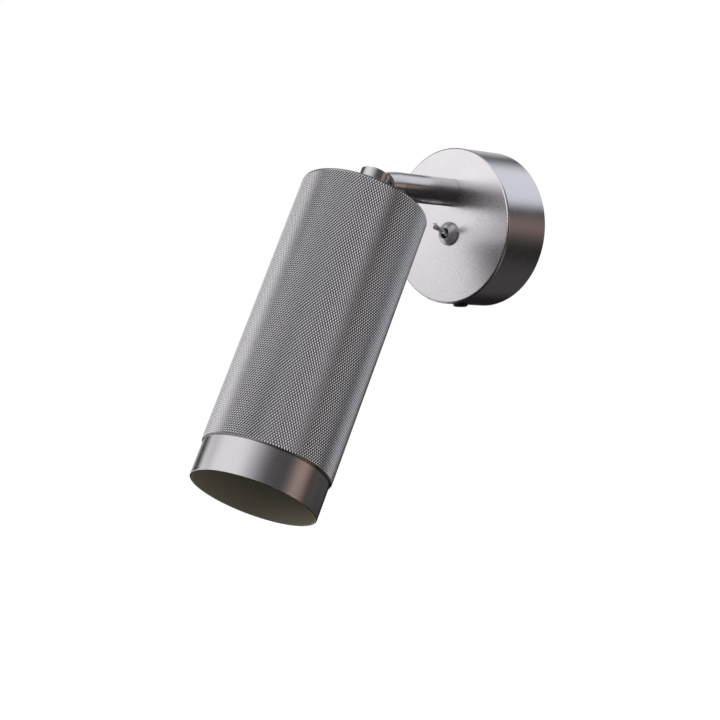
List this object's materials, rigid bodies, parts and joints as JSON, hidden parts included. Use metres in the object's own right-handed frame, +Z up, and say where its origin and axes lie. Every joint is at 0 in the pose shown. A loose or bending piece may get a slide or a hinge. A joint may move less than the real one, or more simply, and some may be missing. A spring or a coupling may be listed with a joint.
{
  "type": "wall light",
  "caption": "Wall light: round metal canopy with toggle switch, short arm, tilting knuckle and a long knurled tube shade over a smooth inner tube.",
  "frame": {"origin": "centre of the canopy's rim, on the wall", "axes": "+Y into the wall (the light stands out towards -Y), +Z up, +X to the right for somebody who faces the wall"},
  "size_m": [0.08, 0.1903, 0.1899],
  "materials": {
    "canopy_metal": "satin",
    "satin_nickel_steel": "satin",
    "ring_aluminium": "satin",
    "knurled_aluminium": "knurled",
    "switch_chrome": "polished",
    "black_screw": "satin black",
    "zinc_steel": "zinc plated",
    "contact_brass": "plain",
    "dark_plastic": "matte",
    "pale_plastic": "matte",
    "lamp_cap_metal": "plain",
    "opal_glass": "opal"
  },
  "bodies": {
    "canopy": {"canopy_cup": "canopy_metal", "wall_plate": "zinc_steel", "side_screw_lower": "black_screw", "arm_pipe": "satin_nickel_steel", "arm_stud": "zinc_steel", "arm_washer": "zinc_steel", "arm_nut": "zinc_steel", "arm_bush": "zinc_steel", "switch_bushing": "switch_chrome", "switch_inner_nut": "switch_chrome", "switch_dress_nut": "switch_chrome", "switch_body": "dark_plastic", "switch_terminal_1": "contact_brass", "switch_terminal_2": "contact_brass", "terminal_block": "pale_plastic", "clamp_screw_1": "contact_brass", "clamp_screw_2": "contact_brass", "clamp_screw_3": "contact_brass", "block_screw": "zinc_steel", "earth_screw": "zinc_steel"},
    "swivel": {"upper_knuckle": "satin_nickel_steel", "swivel_washer": "zinc_steel", "swivel_nut": "zinc_steel"},
    "head": {"lower_knuckle": "satin_nickel_steel", "pivot_screw": "zinc_steel", "shade_outer_tube": "knurled_aluminium", "shade_inner_tube": "ring_aluminium", "spigot_washer": "zinc_steel", "spigot_nut": "zinc_steel", "lampholder_body": "dark_plastic", "lampholder_sleeve": "contact_brass", "lampholder_contact": "contact_brass", "lamp_cap": "lamp_cap_metal", "lamp_bulb": "opal_glass"},
    "toggle": {"switch_lever": "switch_chrome"}
  },
  "joints": [
    {"name": "arm_swivel", "type": "hinge", "parent": "canopy", "child": "swivel", "pos_m": [0, -0.068, 0.0171], "axis": [0, 1, 0], "range_deg": [-175, 175]},
    {"name": "head_tilt", "type": "hinge", "parent": "swivel", "child": "head", "pos_m": [0, -0.08605, 0.0171], "axis": [1, 0, 0], "range_deg": [-63.6, 26.4]},
    {"name": "switch_lever", "type": "hinge", "parent": "canopy", "child": "toggle", "pos_m": [0, -0.0304, -0.0041], "axis": [1, 0, 0], "range_deg": [0, 39]}
  ]
}
